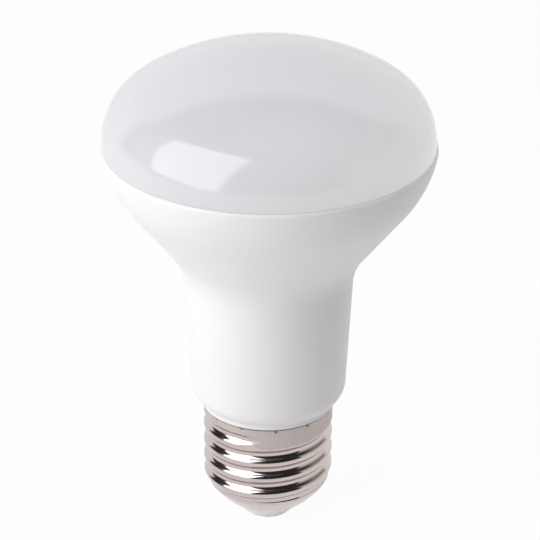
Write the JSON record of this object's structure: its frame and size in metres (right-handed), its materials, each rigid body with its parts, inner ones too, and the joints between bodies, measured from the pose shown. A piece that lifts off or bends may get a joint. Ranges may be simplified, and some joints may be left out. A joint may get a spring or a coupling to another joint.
{
  "type": "reflector bulb",
  "caption": "Reflector lamp with a domed opal diffuser, a white moulded body that flares from a slim neck, and a rolled Edison screw cap.",
  "frame": {"origin": "centre of the centre contact's lower face, where the lamp ends on its axis", "axes": "+Z along the lamp's axis, from the cap to the diffuser; -Y faces the viewer of the picture"},
  "size_m": [0.0657, 0.0656, 0.1022],
  "materials": {
    "contact_metal": "satin, tinned",
    "insulator_plastic": "matte",
    "nickel_plate": "bright nickel, satin on the collar",
    "body_plastic": "satin, moulded",
    "opal_plastic": "opal, soft gloss"
  },
  "bodies": {
    "root": {"centre_contact": "contact_metal", "insulator": "insulator_plastic", "screw_shell": "nickel_plate", "housing": "body_plastic", "diffuser": "opal_plastic"}
  },
  "joints": []
}
